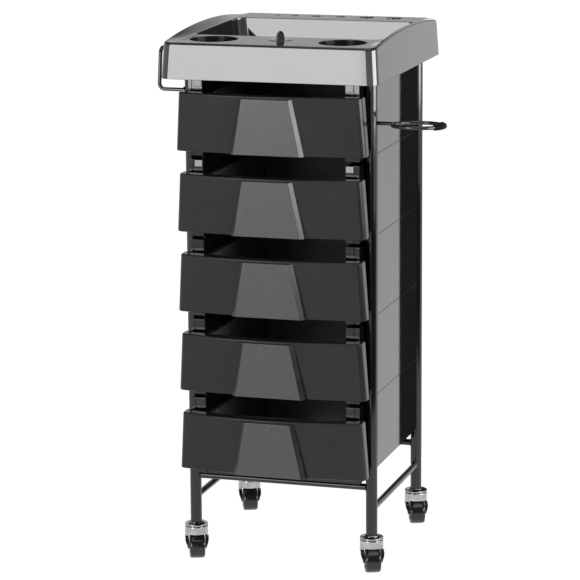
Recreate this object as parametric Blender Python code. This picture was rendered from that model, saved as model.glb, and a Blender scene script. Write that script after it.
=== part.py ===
"""Rolling salon trolley: a tube frame on four casters, five drawers between side panels, and a top tray.

Metres, +Z up. The front is towards -Y. Every piece is modelled about the middle of the leg square, on the
floor, and hangs from one empty that puts the origin under the middle of the whole trolley.
"""

import math

import bmesh
import bpy
from mathutils import Matrix, Vector

GAP = 0.0003  # between touching pieces

# Frame
LEG_X = 0.1508  # half spacing of the legs across
LEG_Y = 0.1462  # half spacing of the legs front to back
LEG_R = 0.0095
LEG_BORE_R = 0.0083
LEG_BOTTOM = 0.0600
LEG_TOP = 0.8445
RAIL_R = 0.0055
SIDE_RAIL_Z = 0.1025
CROSS_RAIL_Z = 0.1400

# Tiers
TIERS = 5
PITCH = 0.1312  # one drawer to the next
SEAM_Z = 0.6888  # first joint between two outer side panels
SLOT_Z = 0.6780  # first joint between two runner walls
SLOT_HALF = 0.0033
PANEL_TOP = 0.8071
PANEL_BOTTOM = 0.1720
PANEL_X = 0.1581  # outer face
PANEL_FRONT_Y = -0.1358
PANEL_BACK_Y = 0.1205
SKIN = 0.0030
WALL_X = 0.1187  # face of the runner wall, towards the drawer
WALL = 0.0028
WALL_FRONT = -0.1850
WALL_BACK = 0.1330
WALL_TOP = 0.8040
WALL_BOTTOM = 0.1550
POST_X = 0.1415  # outer edge of the post in front of a leg
POST_BACK = -0.1572
GROOVE = (0.1323, 0.1362)  # inner and outer edge of the groove down each post
GROOVE_DEPTH = 0.0014
CATCH_HEIGHT = 0.0110  # the raised block at the head of each post
CATCH_PROUD = (0.0004, 0.0011)  # at its top and its foot
LEDGE_X = 0.1135
LEDGE = 0.0030
WEB_FRONT = -0.1340
WEB_BACK = 0.1185
WEB_RISE = 0.0300  # lower web above the foot of its wall
WEB_DROP = 0.0120  # upper web below the ledge
LAP = 0.0010  # overlap of walls that are moulded together
BACK_X = 0.1380
BACK_Y = 0.1355
SEAM_HALF = 0.0006
SEAM_DEPTH = 0.0008
BOTTOM_X = 0.1335
BOTTOM_FRONT = -0.1550
BOTTOM_BACK = 0.1345
BOTTOM_LIP = 0.1542  # top of the bottom plate's folded front edge

# Drawers
FRONT_TOP = 0.7866  # top of the first drawer front
FRONT_HEIGHT = 0.0955
FRONT_BACK_Y = -0.1870
FRONT_WALL = 0.0030
BASKET_X = 0.1110
BASKET_FOOT_X = 0.1085
BASKET_FLANGE_X = 0.1178
BASKET_FRONT_Y = -0.1866
BASKET_BACK_Y = 0.1280
BASKET_WALL = 0.0022
RIM_DROP = 0.0060  # basket rim below the top of its front
FLANGE = 0.0025
FOOT_HALF_X = 0.1576  # half width of a front along its lower edge
CREST_HALF_X = 0.1513  # and along its upper edge
FOOT_Y = -0.2165  # middle of the lower edge
CREST_Y = -0.2285  # middle of the upper edge
FOOT_SAG = 0.0095  # how far the ends lie behind the middle
CREST_SAG = 0.0170
FOOT_END_R = 0.0100
CREST_END_R = 0.0090
SOLE_BEVEL = 0.0018
CREASE_BEVEL = 0.0022
POCKETS = ((-0.1480, -0.0620), (-0.0590, 0.0590), (0.0620, 0.1480))  # hollows behind a front
RECESS_X = 0.1400
RECESS_Y = -0.2085
RECESS_SAG = 0.0150
RECESS_DEPTH = 0.0120
BASKET_CORNER_R = 0.0080

# Tray
TRAY_BOTTOM = 0.8077
TRAY_FOOT = (0.1790, -0.2193, 0.1975)  # half width, front and back at the bottom
TRAY_BRIM = (0.1755, -0.2160, 0.1942)  # the same at the top edge
TRAY_DECK = (0.1580, -0.2134, 0.1914)  # the same at the inner edge of the rim
TRAY_CORNER_R = 0.0140
BRIM_LOW = 0.8650
BRIM_HIGH = 0.8785
DECK_Z = 0.8660
SHELF_Z = 0.8685
WELL_FRONT = -0.1075
WELL_BACK = 0.1250
WELL_FLOOR = 0.8107
WELL_FLOOR_X = 0.1500
WELL_CORNER_R = 0.0120
BAY_X = 0.1700  # half width of the hollows under the deck
BAY_FRONT = -0.2125
BAY_BACK = 0.1900
SIDE_BAY = (0.1600, 0.1705)
TRAY_WALL = 0.0030
BOSS_R = 0.0125  # around the head of each leg
CUP_X = 0.1070
CUP_Y = -0.1570
CUP_R = 0.0387
CUP_DEPTH = 0.0450
CUP_WALL = 0.0023
LID_Y = -0.1437
LID_R = 0.0190
LID_NECK_R = 0.0164
LID_HOLE_R = 0.0167
FIN_HALF = 0.0095
FIN_HEIGHT = 0.0148
FIN_HALF_THICK = 0.0014
FIN_TURN = math.radians(65)
TOOL_Y = 0.1680
TOOL_HOLES = (  # place across and radius
    (-0.0995, 0.0034),
    (-0.0680, 0.0050),
    (-0.0305, 0.0070),
    (0.0120, 0.0076),
    (0.0573, 0.0120),
    (0.1055, 0.0124),
)

# Bar on the left and ring on the right
ROD_R = 0.0031
BAR_X = -0.2045  # at the foot of its uprights
BAR_TOP_X = -0.2012
BAR_LOW = 0.7812
BAR_HIGH = 0.8475
BAR_BEND = 0.0090
RING_Z = 0.7390
RING_CENTRE = (0.2290, -0.1540)
RING_R = 0.0410
RING_ENTRY = math.radians(166)  # where the straight end runs into the ring
RING_SPAN = math.radians(326)
RING_TILT = math.radians(2.6)  # the ring's front edge stands a little high
SLEEVE_HALF = math.radians(38)
SLEEVE_R = 0.0046

# Casters
WHEEL_R = 0.0200
WHEEL_HALF = 0.0125
HUB_HALF = 0.0130
TRAIL = 0.0120
CASTER_TURN = math.radians(22)
CAP_R = 0.0195
CAP_BOTTOM = 0.0543
HOOD_TOP = 0.0538
HOOD_WALL = 0.0010
HOOD_SKIRT = 0.0360
HOOD_ARCH = 0.0468
YOKE_IN = 0.0136
YOKE_TOP = 0.0523
AXLE_R = 0.0030

# The whole trolley spans from the bar to the ring and from the drawer fronts to the tray's back.
LEFT_END = BAR_X - ROD_R
RIGHT_END = RING_CENTRE[0] + RING_R + SLEEVE_R
FRONT_END = -0.2345
BACK_END = TRAY_FOOT[2]
SHIFT = Vector((-(LEFT_END + RIGHT_END) / 2, -(FRONT_END + BACK_END) / 2, 0.0))

COLOURS = {
    "frame": ((0.045, 0.045, 0.048), 0.25, 0.6),
    "panel": ((0.030, 0.030, 0.032), 0.18, 0.0),
    "drawer": ((0.045, 0.045, 0.048), 0.35, 0.0),
    "basket": ((0.020, 0.020, 0.021), 0.45, 0.0),
    "tray": ((0.035, 0.035, 0.037), 0.15, 0.0),
    "rod": ((0.060, 0.060, 0.063), 0.20, 0.9),
    "sleeve": ((0.010, 0.010, 0.010), 0.55, 0.0),
    "chrome": ((0.700, 0.700, 0.710), 0.12, 1.0),
    "wheel": ((0.018, 0.018, 0.018), 0.60, 0.0),
}


def clear_scene():
    for obj in list(bpy.data.objects):
        bpy.data.objects.remove(obj, do_unlink=True)


def material(name, kind):
    colour, roughness, metallic = COLOURS[kind]
    made = bpy.data.materials.new(name)
    made.use_nodes = True
    shader = made.node_tree.nodes["Principled BSDF"]
    shader.inputs["Base Color"].default_value = (*colour, 1.0)
    shader.inputs["Roughness"].default_value = roughness
    shader.inputs["Metallic"].default_value = metallic
    return made


def link(name, bm):
    """A new object from a bmesh, with its faces turned outwards."""
    bmesh.ops.recalc_face_normals(bm, faces=bm.faces)
    if bm.calc_volume(signed=True) < 0:
        bmesh.ops.reverse_faces(bm, faces=bm.faces)
    mesh = bpy.data.meshes.new(name)
    bm.to_mesh(mesh)
    bm.free()
    obj = bpy.data.objects.new(name, mesh)
    bpy.context.scene.collection.objects.link(obj)
    return obj


def box(name, low, high):
    bm = bmesh.new()
    bmesh.ops.create_cube(bm, size=1.0)
    size = [h - l for l, h in zip(low, high)]
    middle = [(h + l) / 2 for l, h in zip(low, high)]
    bmesh.ops.scale(bm, vec=size, verts=bm.verts)
    bmesh.ops.translate(bm, vec=middle, verts=bm.verts)
    return link(name, bm)


def mirrored_box(name, side, low, high):
    """A box given for the right-hand side, or its mirror image on the left."""
    xs = sorted((side * low[0], side * high[0]))
    return box(name, (xs[0], *low[1:]), (xs[1], *high[1:]))


def loft(name, rings):
    """A closed solid through rings of equally many points, each end filled."""
    bm = bmesh.new()
    rows = [[bm.verts.new(point) for point in ring] for ring in rings]
    for low, high in zip(rows, rows[1:]):
        for i in range(len(low)):
            j = (i + 1) % len(low)
            bm.faces.new((low[i], low[j], high[j], high[i]))
    bm.faces.new(list(reversed(rows[0])))
    bm.faces.new(rows[-1])
    return link(name, bm)


def turned(name, profile, sides=32):
    """A solid of revolution about Z from (radius, z) points whose first and last radius is zero."""
    bm = bmesh.new()
    rings = []
    for radius, z in profile:
        if radius == 0:
            rings.append([bm.verts.new((0, 0, z))])
            continue
        ring = []
        for i in range(sides):
            angle = 2 * math.pi * i / sides
            ring.append(bm.verts.new((radius * math.cos(angle), radius * math.sin(angle), z)))
        rings.append(ring)
    for one, two in zip(rings, rings[1:]):
        for i in range(sides):
            j = (i + 1) % sides
            corners = [one[i % len(one)], one[j % len(one)], two[j % len(two)], two[i % len(two)]]
            bm.faces.new(list(dict.fromkeys(corners)))
    return link(name, bm)


def pipe(name, low_z, high_z, outer, inner, sides=24):
    """An upright tube open at both ends, about Z."""
    bm = bmesh.new()
    rings = []
    for radius, z in ((outer, low_z), (outer, high_z), (inner, high_z), (inner, low_z)):
        ring = []
        for i in range(sides):
            angle = 2 * math.pi * i / sides
            ring.append(bm.verts.new((radius * math.cos(angle), radius * math.sin(angle), z)))
        rings.append(ring)
    for k in range(4):
        one, two = rings[k], rings[(k + 1) % 4]
        for i in range(sides):
            j = (i + 1) % sides
            bm.faces.new((one[i], one[j], two[j], two[i]))
    return link(name, bm)


def rod_between(name, start, end, radius, sides=20):
    """A straight round bar from one point to another."""
    start, end = Vector(start), Vector(end)
    along = end - start
    bm = bmesh.new()
    bmesh.ops.create_cone(
        bm, cap_ends=True, segments=sides, radius1=radius, radius2=radius, depth=along.length
    )
    turn = along.to_track_quat("Z", "Y").to_matrix().to_4x4()
    bm.transform(Matrix.Translation((start + end) / 2) @ turn)
    return link(name, bm)


def swept(name, points, radius, inner=0.0, sides=10):
    """A wire or a hollow sleeve along points, its circle carried along without twist."""
    points = [Vector(point) for point in points]
    tangents = []
    for i in range(len(points)):
        ahead = points[min(i + 1, len(points) - 1)] - points[max(i - 1, 0)]
        tangents.append(ahead.normalized())
    across = tangents[0].orthogonal().normalized()
    bm = bmesh.new()
    outer, bore = [], []
    for point, tangent in zip(points, tangents):
        across = (across - tangent * across.dot(tangent)).normalized()
        other = tangent.cross(across)
        for size, rings in ((radius, outer), (inner, bore)):
            ring = []
            for k in range(sides):
                angle = 2 * math.pi * k / sides
                offset = across * math.cos(angle) + other * math.sin(angle)
                ring.append(bm.verts.new(point + offset * size) if size else None)
            rings.append(ring)
    surfaces = [outer, bore] if inner else [outer]
    for rings in surfaces:
        for one, two in zip(rings, rings[1:]):
            for k in range(sides):
                j = (k + 1) % sides
                bm.faces.new((one[k], one[j], two[j], two[k]))
    for end in (0, -1):
        if inner:
            for k in range(sides):
                j = (k + 1) % sides
                bm.faces.new((outer[end][k], outer[end][j], bore[end][j], bore[end][k]))
        else:
            bm.faces.new(outer[end])
    return link(name, bm)


def rounded_path(corners, radius, steps=5):
    """Corner points with each inner corner turned into an arc."""
    corners = [Vector(corner) for corner in corners]
    points = [corners[0]]
    for before, corner, after in zip(corners, corners[1:], corners[2:]):
        back = (before - corner).normalized()
        ahead = (after - corner).normalized()
        half = back.angle(ahead) / 2
        reach = radius / math.tan(half)
        centre = corner + (back + ahead).normalized() * (radius / math.sin(half))
        first = corner + back * reach - centre
        last = corner + ahead * reach - centre
        axis = first.cross(last).normalized()
        sweep = first.angle(last)
        for i in range(steps + 1):
            points.append(centre + Matrix.Rotation(sweep * i / steps, 3, axis) @ first)
    points.append(corners[-1])
    return points


def combine(obj, others, operation):
    """Joins or cuts an object with others for good, then removes them."""
    for other in others:
        other.hide_render = True
        other.display_type = "WIRE"
        modifier = obj.modifiers.new(operation.lower(), "BOOLEAN")
        modifier.operation = operation
        modifier.solver = "EXACT"
        modifier.object = other
        graph = bpy.context.evaluated_depsgraph_get()
        result = bpy.data.meshes.new_from_object(obj.evaluated_get(graph))
        obj.modifiers.clear()
        obj.data = result
        bpy.data.objects.remove(other, do_unlink=True)
    return obj


def finish(obj, kind, smooth_angle=35.0, location=None):
    """Gives a piece its material, its shading and its origin, and hangs it from the trolley's empty."""
    if location is not None:
        location = Vector(location)
        obj.data.transform(Matrix.Translation(-location))
        obj.location = location
    obj.data.materials.clear()
    obj.data.materials.append(material(obj.name, kind))
    obj.data.shade_smooth()
    obj.data.set_sharp_from_angle(angle=math.radians(smooth_angle))
    obj.parent = bpy.data.objects["trolley_origin"]
    return obj


def rounded_outline(half_width, front, back, radius, steps=6):
    """A rectangle in plan with round corners, as (x, y) points, anticlockwise from the right front."""
    points = []
    corners = (
        (half_width - radius, front + radius, -90),
        (half_width - radius, back - radius, 0),
        (-half_width + radius, back - radius, 90),
        (-half_width + radius, front + radius, 180),
    )
    for cx, cy, start in corners:
        for i in range(steps + 1):
            angle = math.radians(start + 90 * i / steps)
            points.append((cx + radius * math.cos(angle), cy + radius * math.sin(angle)))
    return points


def with_side_points(outline, count):
    """The same outline with extra points along its two long sides, where the rim arches."""
    steps = len(outline) // 4
    result = []
    for i, point in enumerate(outline):
        result.append(point)
        after = outline[(i + 1) % len(outline)]
        if (i + 1) % steps == 0 and (i + 1) // steps in (1, 3):
            for k in range(1, count):
                share = k / count
                result.append(tuple(a + (b - a) * share for a, b in zip(point, after)))
    return result


def brim_height(y):
    """The side rims arch gently from corner to corner."""
    middle = (TRAY_BRIM[1] + TRAY_BRIM[2]) / 2
    half = (TRAY_BRIM[2] - TRAY_BRIM[1]) / 2
    return BRIM_HIGH - (BRIM_HIGH - BRIM_LOW) * ((y - middle) / half) ** 2


def deck_height(y):
    """The deck rises very slightly from the front platform to the back shelf."""
    share = (y - TRAY_DECK[1]) / (TRAY_DECK[2] - TRAY_DECK[1])
    return DECK_Z + (SHELF_Z - DECK_Z) * share


def cylinder(name, x, y, low, high, radius_low, radius_high, sides=28):
    obj = turned(name, ((0, low), (radius_low, low), (radius_high, high), (0, high)), sides)
    obj.data.transform(Matrix.Translation((x, y, 0)))
    return obj


def build_frame():
    for front in (-1, 1):
        for side in (-1, 1):
            name = f"leg_{'front' if front < 0 else 'rear'}_{'left' if side < 0 else 'right'}"
            obj = pipe(name, LEG_BOTTOM, LEG_TOP, LEG_R, LEG_BORE_R)
            obj.data.transform(Matrix.Translation((side * LEG_X, front * LEG_Y, 0)))
            finish(obj, "frame", location=(side * LEG_X, front * LEG_Y, LEG_BOTTOM))
    spans = (
        ("rail_left", (-LEG_X, -LEG_Y, SIDE_RAIL_Z), (-LEG_X, LEG_Y, SIDE_RAIL_Z)),
        ("rail_right", (LEG_X, -LEG_Y, SIDE_RAIL_Z), (LEG_X, LEG_Y, SIDE_RAIL_Z)),
        ("rail_front", (-LEG_X, -LEG_Y, CROSS_RAIL_Z), (LEG_X, -LEG_Y, CROSS_RAIL_Z)),
        ("rail_rear", (-LEG_X, LEG_Y, CROSS_RAIL_Z), (LEG_X, LEG_Y, CROSS_RAIL_Z)),
    )
    for name, start, end in spans:
        rail = rod_between(name, start, end, RAIL_R)
        ends = []
        for x, y, z in (start, end):
            cope = (z - 2 * RAIL_R, z + 2 * RAIL_R, LEG_R + GAP, LEG_R + GAP)
            ends.append(cylinder("cope", x, y, *cope, 24))
        combine(rail, ends, "DIFFERENCE")
        finish(rail, "frame")


def tier_ranges(tier):
    """(low, high) of the outer skin and of the runner wall of one tier, counted from the top."""
    last = TIERS - 1
    skin_top = PANEL_TOP if tier == 0 else SEAM_Z - (tier - 1) * PITCH - GAP
    skin_low = PANEL_BOTTOM if tier == last else SEAM_Z - tier * PITCH + GAP
    wall_top = WALL_TOP if tier == 0 else SLOT_Z - (tier - 1) * PITCH - SLOT_HALF
    wall_low = WALL_BOTTOM if tier == last else SLOT_Z - tier * PITCH + SLOT_HALF
    return (skin_low, skin_top), (wall_low, wall_top)


def build_side_panel(side, word, tier):
    """One moulding: the outer skin, the runner wall with its ledge and post, and the webs between them."""
    (skin_low, skin_top), (wall_low, wall_top) = tier_ranges(tier)
    ledge_top = FRONT_TOP - tier * PITCH - RIM_DROP - FLANGE - GAP

    def piece(name, xs, ys, zs):
        return mirrored_box(name, side, (xs[0], ys[0], zs[0]), (xs[1], ys[1], zs[1]))

    tall = (wall_low, wall_top)
    skin_x = (PANEL_X - SKIN, PANEL_X)
    skin_y = (PANEL_FRONT_Y, PANEL_BACK_Y)
    skin = piece(f"side_panel_{word}_{tier + 1}", skin_x, skin_y, (skin_low, skin_top))
    wall = piece("wall", (WALL_X, WALL_X + WALL), (WALL_FRONT, WALL_BACK), tall)
    post = piece("post", (WALL_X + LAP, POST_X), (WALL_FRONT, WALL_FRONT + WALL), tall)
    cheek = piece("cheek", (POST_X - WALL, POST_X), (WALL_FRONT, POST_BACK), tall)
    ledge = piece(
        "ledge", (LEDGE_X, WALL_X + LAP), (WALL_FRONT + LEDGE, WALL_BACK), (ledge_top - LEDGE, ledge_top)
    )
    catch_rings = []
    for z, proud in ((wall_top - CATCH_HEIGHT, CATCH_PROUD[1]), (wall_top - LAP / 2, CATCH_PROUD[0])):
        front = WALL_FRONT - proud
        ring = [(WALL_X + LAP, front, z), (GROOVE[0], front, z)]
        ring += [(GROOVE[0], WALL_FRONT + LAP, z), (WALL_X + LAP, WALL_FRONT + LAP, z)]
        catch_rings.append([(side * x, y, h) for x, y, h in ring])
    webs = []
    for low in (wall_low + WEB_RISE, ledge_top - LEDGE - WEB_DROP):
        webs.append(piece("web", (WALL_X + LAP, PANEL_X - LAP), (WEB_FRONT, WEB_BACK), (low, low + WALL)))
    combine(wall, [post, cheek, ledge, loft("catch", catch_rings)], "UNION")
    combine(skin, [*webs, wall], "UNION")
    groove_z = (wall_low - LAP, wall_top + LAP)
    groove = piece("groove", GROOVE, (WALL_FRONT - LAP, WALL_FRONT + GROOVE_DEPTH), groove_z)
    combine(skin, [groove], "DIFFERENCE")
    finish(skin, "panel")


def build_panels():
    for side, word in ((-1, "left"), (1, "right")):
        for tier in range(TIERS):
            build_side_panel(side, word, tier)
    back = box("back_panel", (-BACK_X, BACK_Y, PANEL_BOTTOM), (BACK_X, BACK_Y + SKIN, PANEL_TOP))
    for tier in range(TIERS - 1):
        z = SEAM_Z - tier * PITCH
        low = (-BACK_X - LAP, BACK_Y + SKIN - SEAM_DEPTH, z - SEAM_HALF)
        high = (BACK_X + LAP, BACK_Y + SKIN + LAP, z + SEAM_HALF)
        combine(back, [box("seam", low, high)], "DIFFERENCE")
    finish(back, "panel")
    rest = CROSS_RAIL_Z + RAIL_R + GAP
    bottom = box("bottom_panel", (-BOTTOM_X, BOTTOM_FRONT, rest), (BOTTOM_X, BOTTOM_BACK, rest + WALL))
    lip = box("lip", (-BOTTOM_X, BOTTOM_FRONT, rest + LAP), (BOTTOM_X, BOTTOM_FRONT + WALL, BOTTOM_LIP))
    combine(bottom, [lip], "UNION")
    finish(bottom, "panel")


def tray_shell():
    foot = with_side_points(rounded_outline(*TRAY_FOOT, TRAY_CORNER_R), 12)
    brim = with_side_points(rounded_outline(*TRAY_BRIM, TRAY_CORNER_R), 12)
    deck = with_side_points(rounded_outline(*TRAY_DECK, TRAY_CORNER_R / 3), 12)
    return loft(
        "top_tray",
        (
            [(x, y, TRAY_BOTTOM) for x, y in foot],
            [(x, y, brim_height(y)) for x, y in brim],
            [(x, y, deck_height(y)) for x, y in deck],
        ),
    )


def tray_well():
    """The open compartment, a little wider at its mouth than at its floor."""
    floor_outline = rounded_outline(WELL_FLOOR_X, WELL_FRONT + 0.0030, WELL_BACK - 0.0045, WELL_CORNER_R)
    mouth_outline = rounded_outline(TRAY_DECK[0] - 0.0005, WELL_FRONT, WELL_BACK, WELL_CORNER_R)
    return loft(
        "well",
        (
            [(x, y, WELL_FLOOR) for x, y in floor_outline],
            [(x, y, SHELF_Z) for x, y in mouth_outline],
            [(x, y, BRIM_HIGH + TRAY_WALL) for x, y in mouth_outline],
        ),
    )


def tray_bays():
    """The hollows under the deck, leaving the cups' and the lid's walls and a boss around each leg."""
    below = TRAY_BOTTOM - TRAY_WALL
    front_top = (BAY_X, WELL_FRONT - TRAY_WALL, DECK_Z - TRAY_WALL)
    front_bay = box("front_bay", (-BAY_X, BAY_FRONT, below), front_top)
    rear_top = (BAY_X, BAY_BACK, SHELF_Z - TRAY_WALL)
    rear_bay = box("rear_bay", (-BAY_X, WELL_BACK + TRAY_WALL, below), rear_top)
    kept = []
    for side in (-1, 1):
        cup_foot = DECK_Z - CUP_DEPTH - CUP_WALL
        radii = (CUP_R - 0.0036, CUP_R + CUP_WALL)
        kept.append(cylinder("cup_wall", side * CUP_X, CUP_Y, cup_foot, DECK_Z, *radii))
    lid_wall_r = LID_R + CUP_WALL
    kept.append(cylinder("lid_wall", 0, LID_Y, DECK_Z - 0.0160, DECK_Z, lid_wall_r, lid_wall_r, 24))
    for bay, y, walls in ((front_bay, -LEG_Y, kept), (rear_bay, LEG_Y, [])):
        for side in (-1, 1):
            walls.append(cylinder("boss", side * LEG_X, y, below - LAP, BRIM_HIGH, BOSS_R, BOSS_R, 20))
        combine(bay, walls, "DIFFERENCE")
    bays = [front_bay, rear_bay]
    for side in (-1, 1):
        low = (SIDE_BAY[0], WELL_FRONT + TRAY_WALL, below)
        high = (SIDE_BAY[1], WELL_BACK - TRAY_WALL, DECK_Z - 2 * TRAY_WALL)
        bays.append(mirrored_box("side_bay", side, low, high))
    return bays


def tray_holes():
    above = DECK_Z + 0.0100
    holes = []
    bore_r = LEG_R + 2 * GAP
    bore_low = TRAY_BOTTOM - LAP
    for side in (-1, 1):
        cup_floor = DECK_Z - CUP_DEPTH
        holes.append(cylinder("cup", side * CUP_X, CUP_Y, cup_floor, above, CUP_R - 0.0062, CUP_R + 0.0012))
        for y in (-LEG_Y, LEG_Y):
            holes.append(cylinder("bore", side * LEG_X, y, bore_low, LEG_TOP + GAP, bore_r, bore_r, 24))
    seat_r = LID_R + GAP
    holes.append(cylinder("lid_seat", 0, LID_Y, DECK_Z - 0.0014, above, seat_r, seat_r, 24))
    holes.append(cylinder("lid_hole", 0, LID_Y, DECK_Z - 0.0140, above, LID_HOLE_R, LID_HOLE_R, 24))
    for x, radius in TOOL_HOLES:
        holes.append(cylinder("tool", x, TOOL_Y, SHELF_Z - 0.0200, SHELF_Z + 0.0100, radius, radius, 16))
    return holes


def build_lid():
    """A loose round lid with an upright fin to lift it by."""
    top = deck_height(LID_Y) + 2 * GAP
    low = DECK_Z - 0.0115
    shoulder = DECK_Z - 0.0010
    profile = ((0, low), (LID_NECK_R - 0.0002, low), (LID_NECK_R, shoulder), (LID_R, shoulder))
    lid = turned("centre_lid", (*profile, (LID_R, top - 0.0004), (LID_R - 0.0006, top), (0, top)), 24)
    outline = []
    for i in range(13):
        angle = math.pi * i / 12
        outline.append((FIN_HALF * math.cos(angle), top - 0.0004 + FIN_HEIGHT * math.sin(angle)))
    fin = loft("fin", [[(x, y, z) for x, z in outline] for y in (-FIN_HALF_THICK, FIN_HALF_THICK)])
    fin.data.transform(Matrix.Rotation(FIN_TURN, 4, "Z"))
    combine(lid, [fin], "UNION")
    lid.data.transform(Matrix.Translation((0, LID_Y, 0)))
    finish(lid, "tray", location=(0, LID_Y, DECK_Z))


def build_tray():
    tray = combine(tray_shell(), [tray_well(), *tray_bays(), *tray_holes()], "DIFFERENCE")
    finish(tray, "tray", 30.0)
    build_lid()


def build_holders():
    start_x = -(LEG_X + LEG_R + GAP)
    corners = (
        (start_x, -LEG_Y, BAR_LOW),
        (BAR_X, -LEG_Y, BAR_LOW),
        (BAR_TOP_X, -LEG_Y, BAR_HIGH),
        (BAR_TOP_X, LEG_Y, BAR_HIGH),
        (BAR_X, LEG_Y, BAR_LOW),
        (start_x, LEG_Y, BAR_LOW),
    )
    finish(swept("towel_bar", rounded_path(corners, BAR_BEND), ROD_R), "rod")

    cx, cy = RING_CENTRE

    def on_ring(angle):
        y = cy + RING_R * math.sin(angle)
        return (cx + RING_R * math.cos(angle), y, RING_Z - (y - cy) * math.tan(RING_TILT))

    meet_x, meet_y, meet_z = on_ring(RING_ENTRY)
    points = [(LEG_X + LEG_R + GAP, meet_y, meet_z), (meet_x - 0.010, meet_y, meet_z)]
    points.append((meet_x - 0.003, meet_y + 0.001, meet_z))
    steps = 32
    points += [on_ring(RING_ENTRY - RING_SPAN * i / steps) for i in range(1, steps + 1)]
    finish(swept("ring_holder", points, ROD_R), "rod")
    arc = [on_ring(SLEEVE_HALF * (1 - 2 * i / 9)) for i in range(10)]
    finish(swept("ring_sleeve", arc, SLEEVE_R, inner=ROD_R + GAP), "sleeve")


def front_outline(half_width, middle_y, sag, radius, inset=0.0):
    """Plan of a drawer front: straight back, rounded ends and a shallow arc along the front."""
    half_width -= inset
    middle_y += inset
    steps = 9
    reach = half_width - radius
    side_y = middle_y + sag + radius
    right = []
    for i in range(5):
        angle = math.radians(90 * i / 4)
        right.append((reach + radius * math.cos(angle), side_y - radius * math.sin(angle)))
    for i in range(1, steps):
        x = reach * (1 - i / steps)
        right.append((x, middle_y + sag * (x / reach) ** 2))
    left = [(-x, y) for x, y in reversed(right)]
    return [(half_width, FRONT_BACK_Y), *right, (0.0, middle_y), *left, (-half_width, FRONT_BACK_Y)]


def inlay_plate(top, low):
    """The raised tapering plate in the middle of a front: its face, and its wider foot inside the front."""
    rings = []
    for half_top, half_low, y_top, y_low, z_top, z_low in (
        (0.0385, 0.0552, FRONT_END, -0.2272, top - 0.0040, low + 0.0010),
        (0.0445, 0.0635, -0.2200, -0.2100, top - 0.0010, low + 0.0004),
    ):
        ring = [(-half_low, y_low, z_low), (half_low, y_low, z_low)]
        rings.append([*ring, (half_top, y_top, z_top), (-half_top, y_top, z_top)])
    return loft("plate", rings)


def front_pocket(top, low, x_low, x_high):
    """One of the hollows behind a front, which leaves a wall that follows its outer face."""
    steps = 8
    ends = RECESS_X
    corner = POCKETS[-1][1]
    rings = []
    for z, drop, spread in ((low + FRONT_WALL, 0.0, 0.0), (top - FRONT_WALL, 0.0105, -0.0020)):
        inner = []
        for i in range(steps + 1):
            x = x_low + (x_high - x_low) * i / steps
            x = math.copysign(abs(x) + spread, x) if abs(x) > ends else x
            arc = FOOT_Y - drop + (FOOT_SAG + drop) * (x / corner) ** 2
            ease = 0.0075 * max(0.0, (abs(x) - ends) / (corner - ends)) ** 2
            inner.append((x, arc + FRONT_WALL + ease, z))
        behind = FRONT_BACK_Y + LAP
        rings.append([*inner, (inner[-1][0], behind, z), (inner[0][0], behind, z)])
    return loft("pocket", rings)


def finger_recess(top):
    """The dip along the top of a front that fingers reach into."""
    steps = 12
    behind = FRONT_BACK_Y + LAP
    rings = []
    for z in (top - RECESS_DEPTH, top + RECESS_DEPTH):
        edge = []
        for i in range(steps + 1):
            x = RECESS_X * (2 * i / steps - 1)
            edge.append((x, RECESS_Y + RECESS_SAG * (x / RECESS_X) ** 2, z))
        rings.append([*edge, (RECESS_X, behind, z), (-RECESS_X, behind, z)])
    return loft("finger_recess", rings)


def build_drawer_front(tier):
    top = FRONT_TOP - tier * PITCH
    low = top - FRONT_HEIGHT
    foot = (FOOT_HALF_X, FOOT_Y, FOOT_SAG, FOOT_END_R)
    crest = (CREST_HALF_X, CREST_Y, CREST_SAG, CREST_END_R)
    rings = []
    for z, line, inset in (
        (low, foot, SOLE_BEVEL),
        (low + SOLE_BEVEL, foot, 0.0),
        (top - CREASE_BEVEL, crest, 0.0),
        (top, crest, CREASE_BEVEL),
    ):
        rings.append([(x, y, z) for x, y in front_outline(*line, inset=inset)])
    front = loft(f"drawer_front_{tier + 1}", rings)
    combine(front, [inlay_plate(top, low)], "UNION")
    cutters = [front_pocket(top, low, x_low, x_high) for x_low, x_high in POCKETS]
    combine(front, [*cutters, finger_recess(top)], "DIFFERENCE")
    finish(front, "drawer", 28.0, location=(0, FRONT_BACK_Y, low))


def basket_outline(half_width, inset, z):
    """The plan of a basket at one height, from its half width and how far it lies inside the rim."""
    outline = rounded_outline(half_width, BASKET_FRONT_Y + inset, BASKET_BACK_Y - inset, BASKET_CORNER_R, 4)
    return [(x, y, z) for x, y in outline]


def build_basket(tier):
    top = FRONT_TOP - tier * PITCH - RIM_DROP
    low = FRONT_TOP - tier * PITCH - FRONT_HEIGHT + FRONT_WALL
    taper = 0.0020
    outer = loft(
        f"basket_{tier + 1}",
        (basket_outline(BASKET_FOOT_X, taper, low), basket_outline(BASKET_X, 0.0, top)),
    )
    flanges = []
    for side in (-1, 1):
        inner_corner = (BASKET_X - 2 * taper, BASKET_FRONT_Y + 3 * taper, top - FLANGE)
        outer_corner = (BASKET_FLANGE_X, BASKET_BACK_Y - LAP / 2, top)
        flanges.append(mirrored_box("flange", side, inner_corner, outer_corner))
    combine(outer, flanges, "UNION")
    wall = BASKET_WALL
    hollow = loft(
        "hollow",
        (
            basket_outline(BASKET_FOOT_X - wall, taper + wall, low + wall),
            basket_outline(BASKET_X - wall, wall, top + RIM_DROP),
        ),
    )
    combine(outer, [hollow], "DIFFERENCE")
    finish(outer, "basket", location=(0, BASKET_FRONT_Y, low))


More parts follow.
